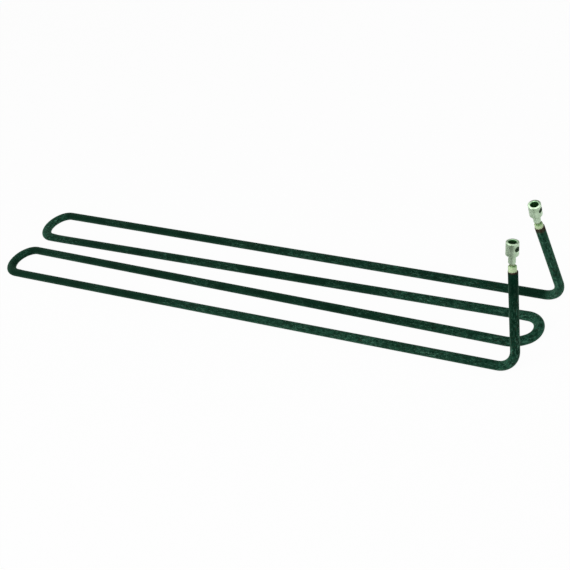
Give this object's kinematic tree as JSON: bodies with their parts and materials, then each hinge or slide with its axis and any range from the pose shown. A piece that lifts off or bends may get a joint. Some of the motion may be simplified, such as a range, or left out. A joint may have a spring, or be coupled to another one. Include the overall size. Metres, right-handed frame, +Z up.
{
  "type": "tubular heating element",
  "caption": "Metal-sheathed tubular heating element bent into side-by-side runs, with two upright legs that end in screw sockets for the supply wires.",
  "frame": {"origin": "under the middle of the element's bounding box, on the floor plane that the four runs rest on", "axes": "+X along the runs towards the legs, +Y to the rear, +Z up"},
  "size_m": [0.6834, 0.1102, 0.1214],
  "materials": {
    "sheath": "satin dark green annealed oxide on steel tube",
    "magnesia": "pressed white powder",
    "coil": "drawn resistance wire",
    "pin": "drawn steel, slightly dulled",
    "seal": "cured silicone compound",
    "bead": "unglazed cream ceramic",
    "socket": "plated turned metal, satin",
    "screw": "black oxide"
  },
  "bodies": {
    "root": {"sheath_tube": "sheath", "magnesia_filling": "magnesia", "resistance_coil": "coil", "front_terminal_pin": "pin", "rear_terminal_pin": "pin", "front_end_seal": "seal", "rear_end_seal": "seal", "front_insulator_bead": "bead", "rear_insulator_bead": "bead", "front_connector_socket": "socket", "rear_connector_socket": "socket", "front_set_screw": "screw", "rear_set_screw": "screw"}
  },
  "joints": []
}
